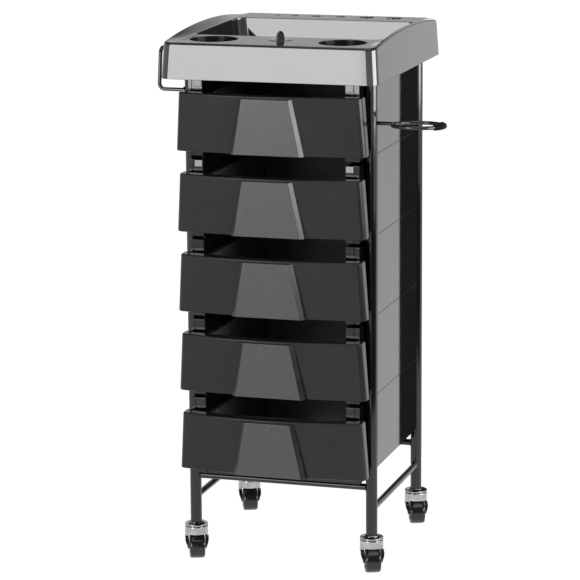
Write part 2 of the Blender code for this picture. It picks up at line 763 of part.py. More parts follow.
def yoke_leg(side):
    """One leg of a fork: narrow under the hood, flared below it, and reaching out to the wheel's axle."""
    rings = []
    for z, out, back, front in (
        (0.0160, 0.0150, 0.0080, 0.0160),
        (0.0185, 0.0157, 0.0055, 0.0185),
        (0.0260, 0.0178, -0.0010, 0.0190),
        (0.0340, 0.0190, -0.0080, 0.0130),
        (0.0354, 0.0166, -0.0070, 0.0070),
        (YOKE_TOP - 0.0010, 0.0164, -0.0070, 0.0070),
    ):
        ring = [(YOKE_IN, -back, z), (out, -back, z), (out, -front, z), (YOKE_IN, -front, z)]
        rings.append([(side * x, y, h) for x, y, h in ring])
    return loft("leg", rings)


def build_caster(word, x, y):
    def placed(obj, kind, at):
        obj.data.transform(Matrix.Translation((x, y, 0)) @ Matrix.Rotation(CASTER_TURN, 4, "Z"))
        return finish(obj, kind, location=at)

    stem = turned(
        f"caster_stem_{word}",
        (
            (0, CAP_BOTTOM),
            (CAP_R - 0.0008, CAP_BOTTOM),
            (CAP_R, CAP_BOTTOM + 0.0008),
            (CAP_R, CAP_BOTTOM + 0.0022),
            (CAP_R - 0.0010, CAP_BOTTOM + 0.0030),
            (CAP_R - 0.0035, CAP_BOTTOM + 0.0026),
            (0.0090, LEG_BOTTOM - GAP),
            (LEG_BORE_R - 0.0005, LEG_BOTTOM - GAP),
            (LEG_BORE_R - 0.0005, 0.0920),
            (0, 0.0945),
        ),
        24,
    )
    placed(stem, "chrome", (x, y, CAP_BOTTOM))

    inner = CAP_R - HOOD_WALL
    hood = turned(
        f"caster_hood_{word}",
        (
            (0, HOOD_TOP),
            (CAP_R - 0.0016, HOOD_TOP),
            (CAP_R - 0.0003, HOOD_TOP - 0.0008),
            (CAP_R, HOOD_TOP - 0.0022),
            (CAP_R, HOOD_SKIRT - 0.0010),
            (inner, HOOD_SKIRT - 0.0010),
            (inner, HOOD_TOP - HOOD_WALL),
            (0, HOOD_TOP - HOOD_WALL),
        ),
        28,
    )
    arch = []
    for y_end in (-0.05, 0.05):
        ring = [(-0.0300, 0.0200), (0.0300, 0.0200), (0.0197, HOOD_SKIRT), (0.0120, HOOD_ARCH)]
        ring += [(-0.0120, HOOD_ARCH), (-0.0197, HOOD_SKIRT)]
        arch.append([(a, y_end, z) for a, z in ring])
    combine(hood, [loft("arch", arch)], "DIFFERENCE")
    placed(hood, "chrome", (x, y, HOOD_TOP))

    crown = cylinder(f"fork_{word}", 0, 0, HOOD_ARCH + 0.0010, YOKE_TOP, inner - 2 * GAP, inner - 2 * GAP, 28)
    combine(crown, [yoke_leg(-1), yoke_leg(1)], "UNION")
    pin_hole = rod_between("pin_hole", (-0.03, -TRAIL, WHEEL_R), (0.03, -TRAIL, WHEEL_R), AXLE_R + GAP, 16)
    combine(crown, [pin_hole], "DIFFERENCE")
    placed(crown, "wheel", (x, y, YOKE_TOP))

    axle = turned(f"axle_{word}", ((0, -0.0162), (AXLE_R, -0.0160), (AXLE_R, 0.0160), (0, 0.0162)), 16)
    wheel_rim = WHEEL_R / math.cos(math.pi / 32)
    wheel_profile = (
        (AXLE_R + GAP, -HUB_HALF),
        (0.0080, -HUB_HALF),
        (0.0100, -WHEEL_HALF + 0.0020),
        (0.0145, -WHEEL_HALF + 0.0005),
        (wheel_rim - 0.0028, -WHEEL_HALF),
        (wheel_rim - 0.0006, -WHEEL_HALF + 0.0018),
        (wheel_rim, -WHEEL_HALF + 0.0045),
    )
    wheel_profile += tuple((radius, -out) for radius, out in reversed(wheel_profile))
    wheel = revolved_ring(f"wheel_{word}", wheel_profile, 32)
    centre = Vector((x + TRAIL * math.sin(CASTER_TURN), y - TRAIL * math.cos(CASTER_TURN), WHEEL_R))
    for obj, kind in ((axle, "chrome"), (wheel, "wheel")):
        lay = Matrix.Translation((0, -TRAIL, WHEEL_R)) @ Matrix.Rotation(math.pi / 2, 4, "Y")
        obj.data.transform(lay)
        placed(obj, kind, centre)


def revolved_ring(name, profile, sides):
    """A ring turned about Z from (radius, z) points that stay off the axis."""
    bm = bmesh.new()
    rings = []
    for radius, z in profile:
        ring = []
        for i in range(sides):
            angle = 2 * math.pi * (i + 0.5) / sides
            ring.append(bm.verts.new((radius * math.cos(angle), radius * math.sin(angle), z)))
        rings.append(ring)
    for k in range(len(rings)):
        one, two = rings[k], rings[(k + 1) % len(rings)]
        for i in range(sides):
            j = (i + 1) % sides
            bm.faces.new((one[i], one[j], two[j], two[i]))
    return link(name, bm)


def build():
    clear_scene()
    origin = bpy.data.objects.new("trolley_origin", None)
    origin.location = SHIFT
    bpy.context.scene.collection.objects.link(origin)
    build_frame()
    build_panels()
    build_tray()
    build_holders()
    for tier in range(TIERS):
        build_drawer_front(tier)
        build_basket(tier)
    for front in (-1, 1):
        for side in (-1, 1):
            word = f"{'front' if front < 0 else 'rear'}_{'left' if side < 0 else 'right'}"
            build_caster(word, side * LEG_X, front * LEG_Y)


build()
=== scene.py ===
"""The looks of the rolling salon trolley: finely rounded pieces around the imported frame, in glossy black
plastic, satin charcoal fronts, painted tube and chrome, on a plain pale floor under soft studio light. Lengths
are in metres; X runs to the right, Y to the back and Z up."""

import math

import bmesh
import bpy
from mathutils import Matrix, Vector


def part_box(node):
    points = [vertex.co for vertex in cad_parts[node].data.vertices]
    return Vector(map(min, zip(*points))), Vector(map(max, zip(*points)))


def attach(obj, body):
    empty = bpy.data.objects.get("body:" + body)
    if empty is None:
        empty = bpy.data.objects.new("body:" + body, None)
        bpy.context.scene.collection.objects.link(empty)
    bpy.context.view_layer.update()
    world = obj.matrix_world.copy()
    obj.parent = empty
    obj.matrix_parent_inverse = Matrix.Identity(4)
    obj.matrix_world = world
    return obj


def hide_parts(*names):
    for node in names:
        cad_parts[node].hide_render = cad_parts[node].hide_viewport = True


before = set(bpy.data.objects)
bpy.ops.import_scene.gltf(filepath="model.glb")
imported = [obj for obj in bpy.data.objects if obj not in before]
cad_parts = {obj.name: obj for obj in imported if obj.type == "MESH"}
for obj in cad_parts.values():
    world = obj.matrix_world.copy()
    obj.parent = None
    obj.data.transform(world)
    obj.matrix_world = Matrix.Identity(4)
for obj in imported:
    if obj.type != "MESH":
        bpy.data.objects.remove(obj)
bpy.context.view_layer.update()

# ---------------------------------------------------------------- places read from the frame


def middle(node):
    low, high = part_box(node)
    return (low + high) / 2


CORNERS = ("front_left", "front_right", "rear_left", "rear_right")
SIDES = ((-1, "left"), (1, "right"))
TIERS = range(1, 6)
_one, _other = middle("leg_front_left"), middle("leg_rear_right")
SHIFT = Vector(((_one.x + _other.x) / 2, (_one.y + _other.y) / 2, 0.0))
LEG_X = (_other.x - _one.x) / 2
LEG_Y = (_other.y - _one.y) / 2
LEG_R = (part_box("leg_front_left")[1].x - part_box("leg_front_left")[0].x) / 2
LEG_LOW, LEG_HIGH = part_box("leg_front_left")[0].z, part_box("leg_front_left")[1].z


def local_box(node):
    """A node's corners measured from the middle of the leg square."""
    low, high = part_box(node)
    return low - SHIFT, high - SHIFT


# ---------------------------------------------------------------- mesh tools


def link(name, bm, smooth=40.0):
    bmesh.ops.recalc_face_normals(bm, faces=bm.faces)
    if bm.calc_volume(signed=True) < 0:
        bmesh.ops.reverse_faces(bm, faces=bm.faces)
    mesh = bpy.data.meshes.new(name)
    bm.to_mesh(mesh)
    bm.free()
    obj = bpy.data.objects.new(name, mesh)
    bpy.context.scene.collection.objects.link(obj)
    shade(obj, smooth)
    return obj


def shade(obj, smooth):
    obj.data.shade_smooth()
    obj.data.set_sharp_from_angle(angle=math.radians(smooth))


def moved(obj, x, y):
    obj.data.transform(Matrix.Translation((x, y, 0)))
    return obj


def turn_to(axis):
    """The rotation that lays a solid's own Z along axis."""
    return Vector(axis).to_track_quat("Z", "Y").to_matrix().to_4x4()


def quarter_turn(steps, first=0):
    """Angles from 0 to 90 degrees in equal steps, from step number first on."""
    return [math.radians(90 * i / steps) for i in range(first, steps + 1)]


def at_height(outline, z):
    return [(x, y, z) for x, y in outline]


def shrunk(sizes, inset):
    """A half width, front and back, all drawn in by inset."""
    half_width, front, back = sizes
    return half_width - inset, front + inset, back - inset


def skin(bm, one, two):
    """Faces between two rings of points, either of which may be a single point."""
    sides = max(len(one), len(two))
    for i in range(sides):
        j = (i + 1) % sides
        corners = (one[i % len(one)], one[j % len(one)], two[j % len(two)], two[i % len(two)])
        bm.faces.new(list(dict.fromkeys(corners)))


def box(name, low, high):
    bm = bmesh.new()
    bmesh.ops.create_cube(bm, size=1.0)
    bmesh.ops.scale(bm, vec=[h - l for l, h in zip(low, high)], verts=bm.verts)
    bmesh.ops.translate(bm, vec=[(h + l) / 2 for l, h in zip(low, high)], verts=bm.verts)
    return link(name, bm)


def mirrored_box(name, side, low, high):
    xs = sorted((side * low[0], side * high[0]))
    return box(name, (xs[0], *low[1:]), (xs[1], *high[1:]))


def loft(name, rings, smooth=40.0):
    """A closed solid through rings of equally many points, each end filled."""
    bm = bmesh.new()
    rows = [[bm.verts.new(point) for point in ring] for ring in rings]
    for low, high in zip(rows, rows[1:]):
        skin(bm, low, high)
    bm.faces.new(list(reversed(rows[0])))
    bm.faces.new(rows[-1])
    return link(name, bm, smooth)


def turned(name, profile, sides=64, smooth=40.0):
    """A solid of revolution about Z. A profile that starts off the axis closes on itself as a ring."""
    bm = bmesh.new()
    rings = []
    for radius, z in profile:
        if radius == 0:
            rings.append([bm.verts.new((0, 0, z))])
            continue
        ring = []
        for i in range(sides):
            angle = 2 * math.pi * (i + 0.5) / sides
            ring.append(bm.verts.new((radius * math.cos(angle), radius * math.sin(angle), z)))
        rings.append(ring)
    pairs = list(zip(rings, rings[1:]))
    if profile[0][0] > 0:
        pairs.append((rings[-1], rings[0]))
    for one, two in pairs:
        skin(bm, one, two)
    return link(name, bm, smooth)


def rounded_profile(points, radius, steps=4):
    """A (radius, z) profile with each inner corner turned into an arc."""
    path = rounded_path([(r, 0.0, z) for r, z in points], radius, steps)
    return [(max(p.x, 0.0), p.z) for p in path]


def rounded_path(corners, radius, steps=8):
    """A path with each corner turned into an arc, as large as its two legs leave room for."""
    nearly_straight, most_of_leg = math.radians(88), 0.48
    corners = [Vector(corner) for corner in corners]
    points = [corners[0]]
    for before, corner, after in zip(corners, corners[1:], corners[2:]):
        back = (before - corner).normalized()
        ahead = (after - corner).normalized()
        half = back.angle(ahead) / 2
        if half > nearly_straight:
            points.append(corner)
            continue
        most = most_of_leg * min((before - corner).length, (after - corner).length) * math.tan(half)
        size = min(radius, most)
        reach = size / math.tan(half)
        centre = corner + (back + ahead).normalized() * (size / math.sin(half))
        first = corner + back * reach - centre
        last = corner + ahead * reach - centre
        axis = first.cross(last).normalized()
        sweep = first.angle(last)
        for i in range(steps + 1):
            points.append(centre + Matrix.Rotation(sweep * i / steps, 3, axis) @ first)
    points.append(corners[-1])
    return points


def swept(name, points, radius, inner=0.0, sides=24):
    """A wire or a hollow sleeve along points, with flat ends."""
    points = [Vector(point) for point in points]
    tangents = []
    for i in range(len(points)):
        ahead = points[min(i + 1, len(points) - 1)] - points[max(i - 1, 0)]
        tangents.append(ahead.normalized())
    across = tangents[0].orthogonal().normalized()
    bm = bmesh.new()
    outer, bore = [], []
    for point, tangent in zip(points, tangents):
        across = (across - tangent * across.dot(tangent)).normalized()
        other = tangent.cross(across)
        for size, rings in ((radius, outer), (inner, bore)):
            if not size:
                continue
            ring = []
            for k in range(sides):
                angle = 2 * math.pi * k / sides
                out = across * math.cos(angle) + other * math.sin(angle)
                ring.append(bm.verts.new(point + out * size))
            rings.append(ring)
    for rings in filter(None, (outer, bore)):
        for one, two in zip(rings, rings[1:]):
            skin(bm, one, two)
    for end in (0, -1):
        if inner:
            skin(bm, outer[end], bore[end])
        else:
            bm.faces.new(outer[end])
    return link(name, bm)


def combine(obj, others, operation, smooth=40.0):
    """Joins or cuts obj by each of the others in turn, and removes them."""
    for other in others:
        modifier = obj.modifiers.new("join", "BOOLEAN")
        modifier.operation = operation
        modifier.solver = "EXACT"
        modifier.object = other
        graph = bpy.context.evaluated_depsgraph_get()
        result = bpy.data.meshes.new_from_object(obj.evaluated_get(graph))
        obj.modifiers.clear()
        obj.data = result
        bpy.data.objects.remove(other, do_unlink=True)
    shade(obj, smooth)
    return obj


def bevel(obj, width, segments=3, limit=40.0):
    modifier = obj.modifiers.new("edges", "BEVEL")
    modifier.width = width
    modifier.segments = segments
    modifier.limit_method = "ANGLE"
    modifier.angle_limit = math.radians(limit)
    modifier.use_clamp_overlap = True
    modifier.harden_normals = False
    modifier.miter_outer = "MITER_ARC"
    return obj


def cylinder(name, x, y, low, high, radius_low, radius_high, sides=64):
    profile = ((0, low), (radius_low, low), (radius_high, high), (0, high))
    return moved(turned(name, profile, sides), x, y)


def rounded_outline(half_width, front, back, radius, steps=10, side_points=1):
    """A rectangle in plan with round corners; the two long sides carry side_points extra spans."""
    points = []
    corners = (
        (half_width - radius, front + radius, -90),
        (half_width - radius, back - radius, 0),
        (-half_width + radius, back - radius, 90),
        (-half_width + radius, front + radius, 180),
    )

    def on_corner(centre_x, centre_y, degrees):
        angle = math.radians(degrees)
        return centre_x + radius * math.cos(angle), centre_y + radius * math.sin(angle)

    for number, (centre_x, centre_y, start) in enumerate(corners):
        for i in range(steps + 1):
            points.append(on_corner(centre_x, centre_y, start + 90 * i / steps))
        if number in (0, 2) and side_points > 1:
            last, end = points[-1], on_corner(*corners[(number + 1) % 4])
            for k in range(1, side_points):
                share = k / side_points
                points.append(tuple(a + (b - a) * share for a, b in zip(last, end)))
    return points


# ---------------------------------------------------------------- materials


def new_material(name):
    made = bpy.data.materials.new(name)
    made.use_nodes = True
    tree = made.node_tree
    return made, tree, tree.nodes["Principled BSDF"]


def noise(tree, scale, detail=4.0, roughness=0.55, stretch=(1, 1, 1)):
    coords = tree.nodes.new("ShaderNodeTexCoord")
    mapping = tree.nodes.new("ShaderNodeMapping")
    mapping.inputs["Scale"].default_value = stretch
    texture = tree.nodes.new("ShaderNodeTexNoise")
    texture.inputs["Scale"].default_value = scale
    texture.inputs["Detail"].default_value = detail
    texture.inputs["Roughness"].default_value = roughness
    tree.links.new(coords.outputs["Object"], mapping.inputs["Vector"])
    tree.links.new(mapping.outputs["Vector"], texture.inputs["Vector"])
    return texture.outputs["Fac"]


def ranged(tree, value, low, high, start=0.3, end=0.7):
    node = tree.nodes.new("ShaderNodeMapRange")
    node.inputs["From Min"].default_value = start
    node.inputs["From Max"].default_value = end
    node.inputs["To Min"].default_value = low
    node.inputs["To Max"].default_value = high
    tree.links.new(value, node.inputs["Value"])
    return node.outputs["Result"]


def blend_colours(tree, value, low, high, start=0.35, end=0.65):
    ramp = tree.nodes.new("ShaderNodeValToRGB")
    ramp.color_ramp.elements[0].position = start
    ramp.color_ramp.elements[0].color = (*low, 1)
    ramp.color_ramp.elements[1].position = end
    ramp.color_ramp.elements[1].color = (*high, 1)
    tree.links.new(value, ramp.inputs["Fac"])
    return ramp.outputs["Color"]


def bump(tree, shader, height, strength, distance=0.0004):
    node = tree.nodes.new("ShaderNodeBump")
    node.inputs["Strength"].default_value = strength
    node.inputs["Distance"].default_value = distance
    tree.links.new(height, node.inputs["Height"])
    tree.links.new(node.outputs["Normal"], shader.inputs["Normal"])


def grey(level, blue=0.0):
    return level, level, level + blue


def surface(
    name, dark, light, rough, grain=900.0, grain_strength=0.08, metallic=0.0, ior=1.5, stretch=(1, 1, 1),
    mottle=14.0, wave=0.0, level=0.5,
):
    """A moulded, painted or plated surface: a slow mottle in colour and gloss, a fine grain, and a faint
    waviness."""
    patch_ratio, wave_ratio = 3.1, 1.7
    made, tree, shader = new_material(name)
    shader.inputs["Specular IOR Level"].default_value = level
    slow = noise(tree, mottle, 3.0)
    tree.links.new(blend_colours(tree, slow, dark, light), shader.inputs["Base Color"])
    patches = noise(tree, mottle * patch_ratio, 5.0, 0.6, stretch)
    tree.links.new(ranged(tree, patches, rough[0], rough[1]), shader.inputs["Roughness"])
    fine = noise(tree, grain, 2.0, 0.6, stretch)
    height = fine
    if wave:
        add = tree.nodes.new("ShaderNodeMath")
        add.operation = "MULTIPLY_ADD"
        add.inputs[1].default_value = wave
        tree.links.new(noise(tree, mottle * wave_ratio, 1.0), add.inputs[0])
        tree.links.new(fine, add.inputs[2])
        height = add.outputs[0]
    bump(tree, shader, height, grain_strength)
    shader.inputs["Metallic"].default_value = metallic
    shader.inputs["IOR"].default_value = ior
    return made


MATERIALS = {
    "frame_paint": surface("frame_paint_black", grey(0.003), grey(0.005), (0.07, 0.12), 1400, 0.03),
    "panel_gloss": surface(
        "panel_gloss_black", grey(0.0015), grey(0.0025), (0.01, 0.03), 700, 0.008, wave=0.15
    ),
    "tray_gloss": surface(
        "tray_gloss_black", grey(0.008), grey(0.013), (0.02, 0.05), 1100, 0.02, wave=0.25, ior=1.62
    ),
    "drawer_front": surface(
        "drawer_satin_charcoal", grey(0.011), grey(0.013), (0.18, 0.23), 1800, 0.06, level=0.25
    ),
    "drawer_inlay": surface(
        "drawer_inlay_brushed", grey(0.069, 0.001), grey(0.083, 0.001), (0.32, 0.42), 1500, 0.12, 0.8,
        stretch=(0.35, 1, 1), mottle=300.0,
    ),
    # painted shade: the cups' inner faces get a darker, nearly glossless finish so the hollows read dark
    "cup_painted_shade": surface("cup_painted_shade_matt", grey(0.004), grey(0.007), (0.22, 0.30), 1300, 0.05, level=0.06),
    "inlay_edge": surface(
        "inlay_edge_smooth", grey(0.024, 0.001), grey(0.030, 0.001), (0.22, 0.28), 1500, 0.03, 0.8
    ),
    "basket_plastic": surface(
        "basket_dark", grey(0.11, 0.002), grey(0.14, 0.003), (0.14, 0.24), 900, 0.05
    ),
    "holder_rod": surface(
        "holder_dark_steel", grey(0.008, 0.001), grey(0.014, 0.001), (0.05, 0.10), 1200, 0.03, ior=1.55
    ),
    "sleeve_black": surface(
        "sleeve_black_soft", grey(0.002), grey(0.004), (0.40, 0.55), 1600, 0.10, level=0.2, ior=1.2
    ),
    "caster_chrome": surface(
        "caster_chrome_plate", grey(0.34, 0.005), grey(0.44, 0.005), (0.05, 0.12), 500, 0.04, 1.0, mottle=90.0
    ),
    "caster_black": surface("caster_black_nylon", grey(0.004), grey(0.007), (0.14, 0.24), 1300, 0.05),
    "axle_steel": surface("axle_plain_steel", grey(0.25, 0.01), grey(0.4, 0.01), (0.2, 0.35), 1500, 0.08, 1.0),
    "wheel_rubber": surface("wheel_black_tread", grey(0.004), grey(0.007), (0.14, 0.24), 1500, 0.08),
}


def flat_first(obj):
    """Keeps large faces flat under smooth shading, with the turn held in the small edge faces."""
    modifier = obj.modifiers.new("flat_first", "WEIGHTED_NORMAL")
    modifier.mode = "FACE_AREA"
    modifier.weight = 100
    modifier.keep_sharp = True


def place(obj, body, slot, *nodes, material=None):
    """Moves a piece from the leg square's middle to its place, and sets what it rides on and stands for."""
    obj.data.transform(Matrix.Translation(SHIFT))
    obj.data.materials.clear()
    obj.data.materials.append(MATERIALS[material or slot])
    flat_first(obj)
    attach(obj, body)
    if nodes:
        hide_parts(*nodes)
    return obj


# ---------------------------------------------------------------- frame tubes and rods


def build_legs():
    bore, low, high = LEG_R - 0.0012, LEG_LOW, LEG_HIGH
    profile = (
        (bore, low), (LEG_R - 0.0008, low), (LEG_R - 0.0002, low + 0.0003), (LEG_R, low + 0.0010),
        (LEG_R, high - 0.0008), (LEG_R - 0.0006, high), (bore, high),
    )
    for corner in CORNERS:
        name = f"leg_{corner}"
        centre = middle(name) - SHIFT
        tube = moved(turned(f"{name}_tube", profile, 56), centre.x, centre.y)
        place(tube, "frame", "frame_paint", name)


def build_rails():
    """Four rails between the legs, each with a weld bead at both ends."""
    reach = LEG_R - 0.0012
    bead_back, bead_deep = 0.0008, 0.0018
    for name in ("rail_left", "rail_right", "rail_front", "rail_rear"):
        low, high = local_box(name)
        centre = (low + high) / 2
        radius = (high.z - low.z) / 2
        if high.x - low.x > high.y - low.y:
            axis, ends = (1, 0, 0), [(sign * (LEG_X - reach), centre.y, centre.z) for sign in (-1, 1)]
        else:
            axis, ends = (0, 1, 0), [(centre.x, sign * (LEG_Y - reach), centre.z) for sign in (-1, 1)]
        rail = swept(f"{name}_tube", ends, radius, sides=40)
        profile = (
            (0, 0), (radius + 0.0011, 0), (radius + 0.0008, -0.0007), (radius - 0.0002, -bead_deep),
            (0, -bead_deep),
        )
        welds = []
        for sign, end in zip((-1, 1), ends):
            outward = Vector(axis) * sign
            bead = turned("weld", profile, 40)
            bead.data.transform(Matrix.Translation(Vector(end) - outward * bead_back) @ turn_to(outward))
            welds.append(bead)
        combine(rail, welds, "UNION")
        place(rail, "frame", "frame_paint", name)


ROD_R = 0.0031


def build_towel_bar():
    low, high = local_box("towel_bar")
    bend_r, lean = 0.009, 0.0033
    start_x = -(LEG_X + LEG_R - 0.0010)
    foot_x, head_x = low.x + ROD_R, low.x + ROD_R + lean
    low_z, high_z = low.z + ROD_R, high.z - ROD_R
    corners = (
        (start_x, -LEG_Y, low_z), (foot_x, -LEG_Y, low_z), (head_x, -LEG_Y, high_z),
        (head_x, LEG_Y, high_z), (foot_x, LEG_Y, low_z), (start_x, LEG_Y, low_z),
    )
    bar = swept("towel_bar_rod", rounded_path(corners, bend_r, 10), ROD_R, sides=28)
    collar_r, collar_deep = 0.0052, 0.0022
    profile = ((0, 0), (collar_r, 0), (collar_r, collar_deep), (0, collar_deep))
    profile = rounded_profile(profile, 0.0006)
    collars = []
    for y in (-LEG_Y, LEG_Y):
        collar = turned("collar", profile, 40)
        spot = (-(LEG_X + LEG_R + 0.0001), y, low_z)
        collar.data.transform(Matrix.Translation(spot) @ turn_to((-1, 0, 0)))
        collars.append(collar)
    combine(bar, collars, "UNION")
    place(bar, "frame", "holder_rod", "towel_bar")


def build_dryer_ring():
    """An open ring on a short arm, tilted down to the back, with a soft sleeve on its far side."""
    low, high = local_box("ring_holder")
    sleeve_high = local_box("ring_sleeve")[1]
    sleeve_r, sleeve_half = 0.0046, 38
    enter, turn, tilt = math.radians(166), math.radians(326), math.tan(math.radians(2.6))
    ring_steps, sleeve_steps = 96, 32
    ring_z = (low.z + high.z) / 2
    ring_r = (high.y - low.y) / 2 - ROD_R
    centre_y = (low.y + high.y) / 2
    centre_x = sleeve_high.x - sleeve_r - ring_r

    def on_ring(angle):
        y = centre_y + ring_r * math.sin(angle)
        return (centre_x + ring_r * math.cos(angle), y, ring_z - (y - centre_y) * tilt)

    meet_x, meet_y, meet_z = on_ring(enter)
    points = [
        (LEG_X + LEG_R - 0.001, meet_y, meet_z), (meet_x - 0.010, meet_y, meet_z),
        (meet_x - 0.003, meet_y + 0.0008, meet_z),
    ]
    points += [on_ring(enter - turn * i / ring_steps) for i in range(1, ring_steps + 1)]
    ring = swept("ring_holder_rod", points, ROD_R, sides=24)
    place(ring, "frame", "holder_rod", "ring_holder")
    degrees = [sleeve_half - 2 * sleeve_half * i / sleeve_steps for i in range(sleeve_steps + 1)]
    arc = [on_ring(math.radians(value)) for value in degrees]
    sleeve = swept("ring_sleeve_soft", arc, sleeve_r, inner=ROD_R + 0.0002, sides=32)
    bevel(sleeve, 0.0008, 3)
    place(sleeve, "frame", "sleeve_black", "ring_sleeve")


# ---------------------------------------------------------------- side panels, back and bottom


def build_panels():
    edges = {f"side_panel_{word}_{tier}": (0.0006, 3) for _, word in SIDES for tier in TIERS}
    edges |= {"back_panel": (0.0004, 2), "bottom_panel": (0.0004, 2)}
    for node, (width, segments) in edges.items():
        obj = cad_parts[node]
        weld = obj.modifiers.new("weld", "WELD")
        weld.merge_threshold = 0.00001
        bevel(obj, width, segments)
        flat_first(obj)
        obj.data.materials.clear()
        obj.data.materials.append(MATERIALS["panel_gloss"])


# ---------------------------------------------------------------- tray

_tray_low, _tray_high = local_box("top_tray")
TRAY_LOW, TRAY_HIGH = _tray_low.z, _tray_high.z
# half width, front and back of the skirt's foot, of the brim and of the deck inside it
FOOT = (_tray_high.x, _tray_low.y, _tray_high.y)
BRIM = (FOOT[0] - 0.0035, FOOT[1] + 0.0033, FOOT[2] - 0.0033)
DECK = (FOOT[0] - 0.0210, FOOT[1] + 0.0059, FOOT[2] - 0.0061)
DECK_Z, SHELF_Z = TRAY_LOW + 0.0583, TRAY_LOW + 0.0608
BRIM_RISE = 0.0135
WELL_FRONT, WELL_BACK = -0.1075, 0.1250
CUPS = ((-0.1070, -0.1570), (0.1070, -0.1570))
CUP_R, CUP_DEPTH = 0.0387, 0.0450
LID_Y, LID_R = -0.1437, 0.0190
# middle and radius of each tool hole along the rear shelf
TOOL_HOLES = (
    (-0.0995, 0.0034), (-0.0680, 0.0050), (-0.0305, 0.0070), (0.0120, 0.0076), (0.0573, 0.0120),
    (0.1055, 0.0124),
)
TOOL_Y = 0.1680


def brim_at(y):
    """The brim's height, highest halfway along the sides and falling to the front and back."""
    middle_y, half_y = (BRIM[1] + BRIM[2]) / 2, (BRIM[2] - BRIM[1]) / 2
    return TRAY_HIGH - BRIM_RISE * min(1.0, ((y - middle_y) / half_y) ** 2)


def deck_at(y):
    return DECK_Z + (SHELF_Z - DECK_Z) * (y - DECK[1]) / (DECK[2] - DECK[1])


def tray_shell():
    """The tray without its hollows: a slanted skirt, a round brim, and a slope down to the deck."""
    corner_r, deck_corner_r, hem, edge = 0.0160, 0.005, 0.0006, 0.0042

    def outline(sizes, corner=corner_r):
        return rounded_outline(*sizes, corner, steps=14, side_points=28)

    def between(one, two, share):
        return [(a[0] + (b[0] - a[0]) * share, a[1] + (b[1] - a[1]) * share) for a, b in zip(one, two)]

    foot_line, brim_line, deck_line = outline(FOOT), outline(BRIM), outline(DECK, deck_corner_r)
    rings = [at_height(outline(shrunk(FOOT, hem)), TRAY_LOW), at_height(foot_line, TRAY_LOW + hem)]
    rings.append([(x, y, brim_at(y) - 0.0038) for x, y in between(foot_line, brim_line, 0.94)])
    for angle in quarter_turn(5, 1):
        ring = []
        for outer, inner in zip(brim_line, deck_line):
            inward = Vector((inner[0] - outer[0], inner[1] - outer[1])).normalized()
            x = outer[0] + inward.x * edge * (1 - math.cos(angle))
            y = outer[1] + inward.y * edge * (1 - math.cos(angle))
            ring.append((x, y, brim_at(outer[1]) - edge * (1 - math.sin(angle))))
        rings.append(ring)
    for share in (0.5, 0.97):
        ring = []
        for outer, inner in zip(brim_line, deck_line):
            start = Vector((outer[0], outer[1], brim_at(outer[1])))
            end = Vector((inner[0], inner[1], deck_at(inner[1])))
            ring.append(tuple(start.lerp(end, share)))
        rings.append(ring)
    rings.append([(x, y, deck_at(y)) for x, y in between(brim_line, deck_line, 1.04)])
    return loft("top_tray_shell", rings, 32)


def well_cutter():
    """The open well, with a rounded foot and a small round lip at its mouth."""
    floor_z, foot_r, lip, above = TRAY_LOW + 0.0030, 0.005, 0.0014, 0.03
    mouth = (DECK[0] - 0.0008, WELL_FRONT, WELL_BACK)
    base = (0.1490, WELL_FRONT + 0.004, WELL_BACK - 0.0098)

    def outline(sizes):
        return rounded_outline(*sizes, 0.017, 10)

    rings = []
    for angle in quarter_turn(5):
        inset = foot_r * (1 - math.sin(angle))
        rings.append(at_height(outline(shrunk(base, inset)), floor_z + foot_r * (1 - math.cos(angle))))
    rings.append(at_height(outline(mouth), DECK_Z - lip))
    for angle in quarter_turn(4, 1):
        out = lip * (1 - math.cos(angle))
        ring = outline((mouth[0], mouth[1] - out, mouth[2] + out))
        rings.append([(x, y, deck_at(y) - lip + lip * math.sin(angle)) for x, y in ring])
    rings.append(at_height(outline((mouth[0], mouth[1] - lip, mouth[2] + lip)), DECK_Z + above))
    return loft("well", rings)


def bay_cutters():
    """The hollows under the front platform and the rear shelf, less what stands in them: the walls of the
    cups, the seat of the lid, and the bosses around the legs."""
    bay_x, below, wall, boss_r = 0.1700, TRAY_LOW - 0.01, 0.003, 0.0125
    front_bay = box(
        "front_bay", (-bay_x, FOOT[1] + 0.0068, below), (bay_x, WELL_FRONT - wall, DECK_Z - wall)
    )
    rear_bay = box("rear_bay", (-bay_x, WELL_BACK + wall, below), (bay_x, FOOT[2] - 0.0075, SHELF_Z - wall))
    keep = [
        cylinder("cup_wall", x, y, DECK_Z - CUP_DEPTH - 0.0024, DECK_Z, CUP_R - 0.0036, CUP_R + 0.0024)
        for x, y in CUPS
    ]
    seat_r = LID_R + 0.0022
    keep.append(cylinder("lid_wall", 0, LID_Y, DECK_Z - 0.0160, DECK_Z, seat_r, seat_r))
    for bay, y, kept in ((front_bay, -LEG_Y, keep), (rear_bay, LEG_Y, [])):
        for side, _ in SIDES:
            kept.append(cylinder("boss", side * LEG_X, y, TRAY_LOW - 0.02, DECK_Z + 0.02, boss_r, boss_r))
        combine(bay, kept, "DIFFERENCE")
    return [front_bay, rear_bay]


def side_cutters(side):
    """The hollow of one side wall, and the bores that its two legs stand in."""
    low = (0.1600, WELL_FRONT + 0.002, TRAY_LOW - 0.01)
    high = (0.1705, WELL_BACK - 0.002, DECK_Z - 0.006)
    cutters = [mirrored_box("side_bay", side, low, high)]
    bore_r = LEG_R + 0.0006
    for y in (-LEG_Y, LEG_Y):
        cutters.append(cylinder("bore", side * LEG_X, y, TRAY_LOW - 0.02, LEG_HIGH + 0.0003, bore_r, bore_r))
    return cutters


